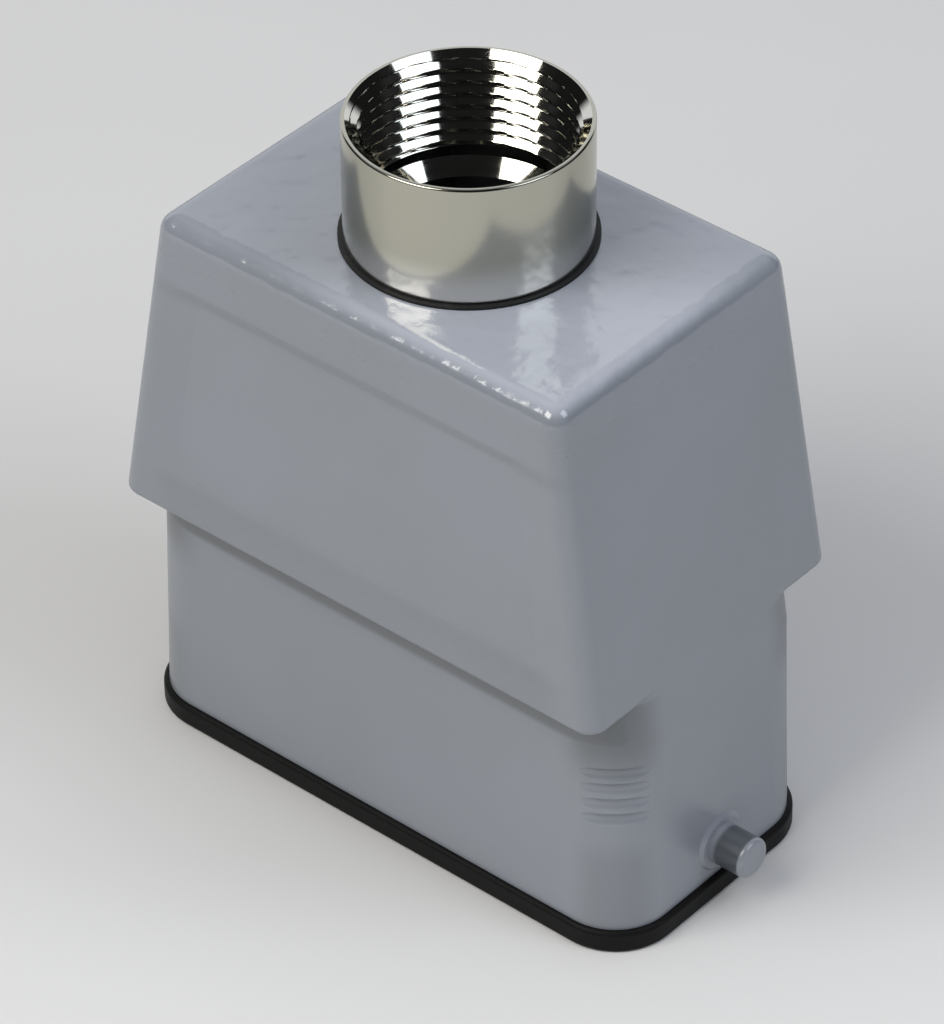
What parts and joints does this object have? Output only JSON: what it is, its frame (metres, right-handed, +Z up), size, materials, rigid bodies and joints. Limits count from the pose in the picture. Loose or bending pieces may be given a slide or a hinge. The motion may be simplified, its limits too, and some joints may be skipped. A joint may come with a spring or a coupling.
{
  "type": "heavy duty rectangular connector",
  "caption": "Die-cast rectangular connector hood with a threaded top cable entry, locking pegs, rim gasket and a male screw-terminal insert inside.",
  "frame": {"origin": "centre of the footprint, on the underside of the rim gasket", "axes": "+Z up to the cable entry, +X along the long side to the end that shows its peg, -Y out of the front long side"},
  "size_m": [0.0734, 0.037, 0.0797],
  "materials": {
    "hood_paint": "smooth powder coat, blue-grey, satin, on die-cast aluminium",
    "gasket_rubber": "black moulded rubber",
    "nickel_plate": "bright nickel plate on turned brass",
    "seal_rubber": "black rubber",
    "insert_plastic": "light grey glass-filled moulding",
    "contact_silver": "silver plate on turned brass",
    "tinned_brass": "tin plate on stamped brass",
    "zinc_steel": "zinc plate, clear passivated",
    "spring_steel": "dark oiled spring steel"
  },
  "bodies": {
    "root": {"adapter_seal": "seal_rubber", "contact_1": "contact_silver", "contact_10": "contact_silver", "contact_2": "contact_silver", "contact_3": "contact_silver", "contact_4": "contact_silver", "contact_5": "contact_silver", "contact_6": "contact_silver", "contact_7": "contact_silver", "contact_8": "contact_silver", "contact_9": "contact_silver", "earth_contact_left": "tinned_brass", "earth_contact_right": "tinned_brass", "earth_screws": "zinc_steel", "entry_adapter": "nickel_plate", "fixing_screws": "zinc_steel", "hood_gasket": "gasket_rubber", "hood_shell": "hood_paint", "insert_body": "insert_plastic", "spring_washers": "spring_steel", "terminal_screws": "zinc_steel"}
  },
  "joints": []
}
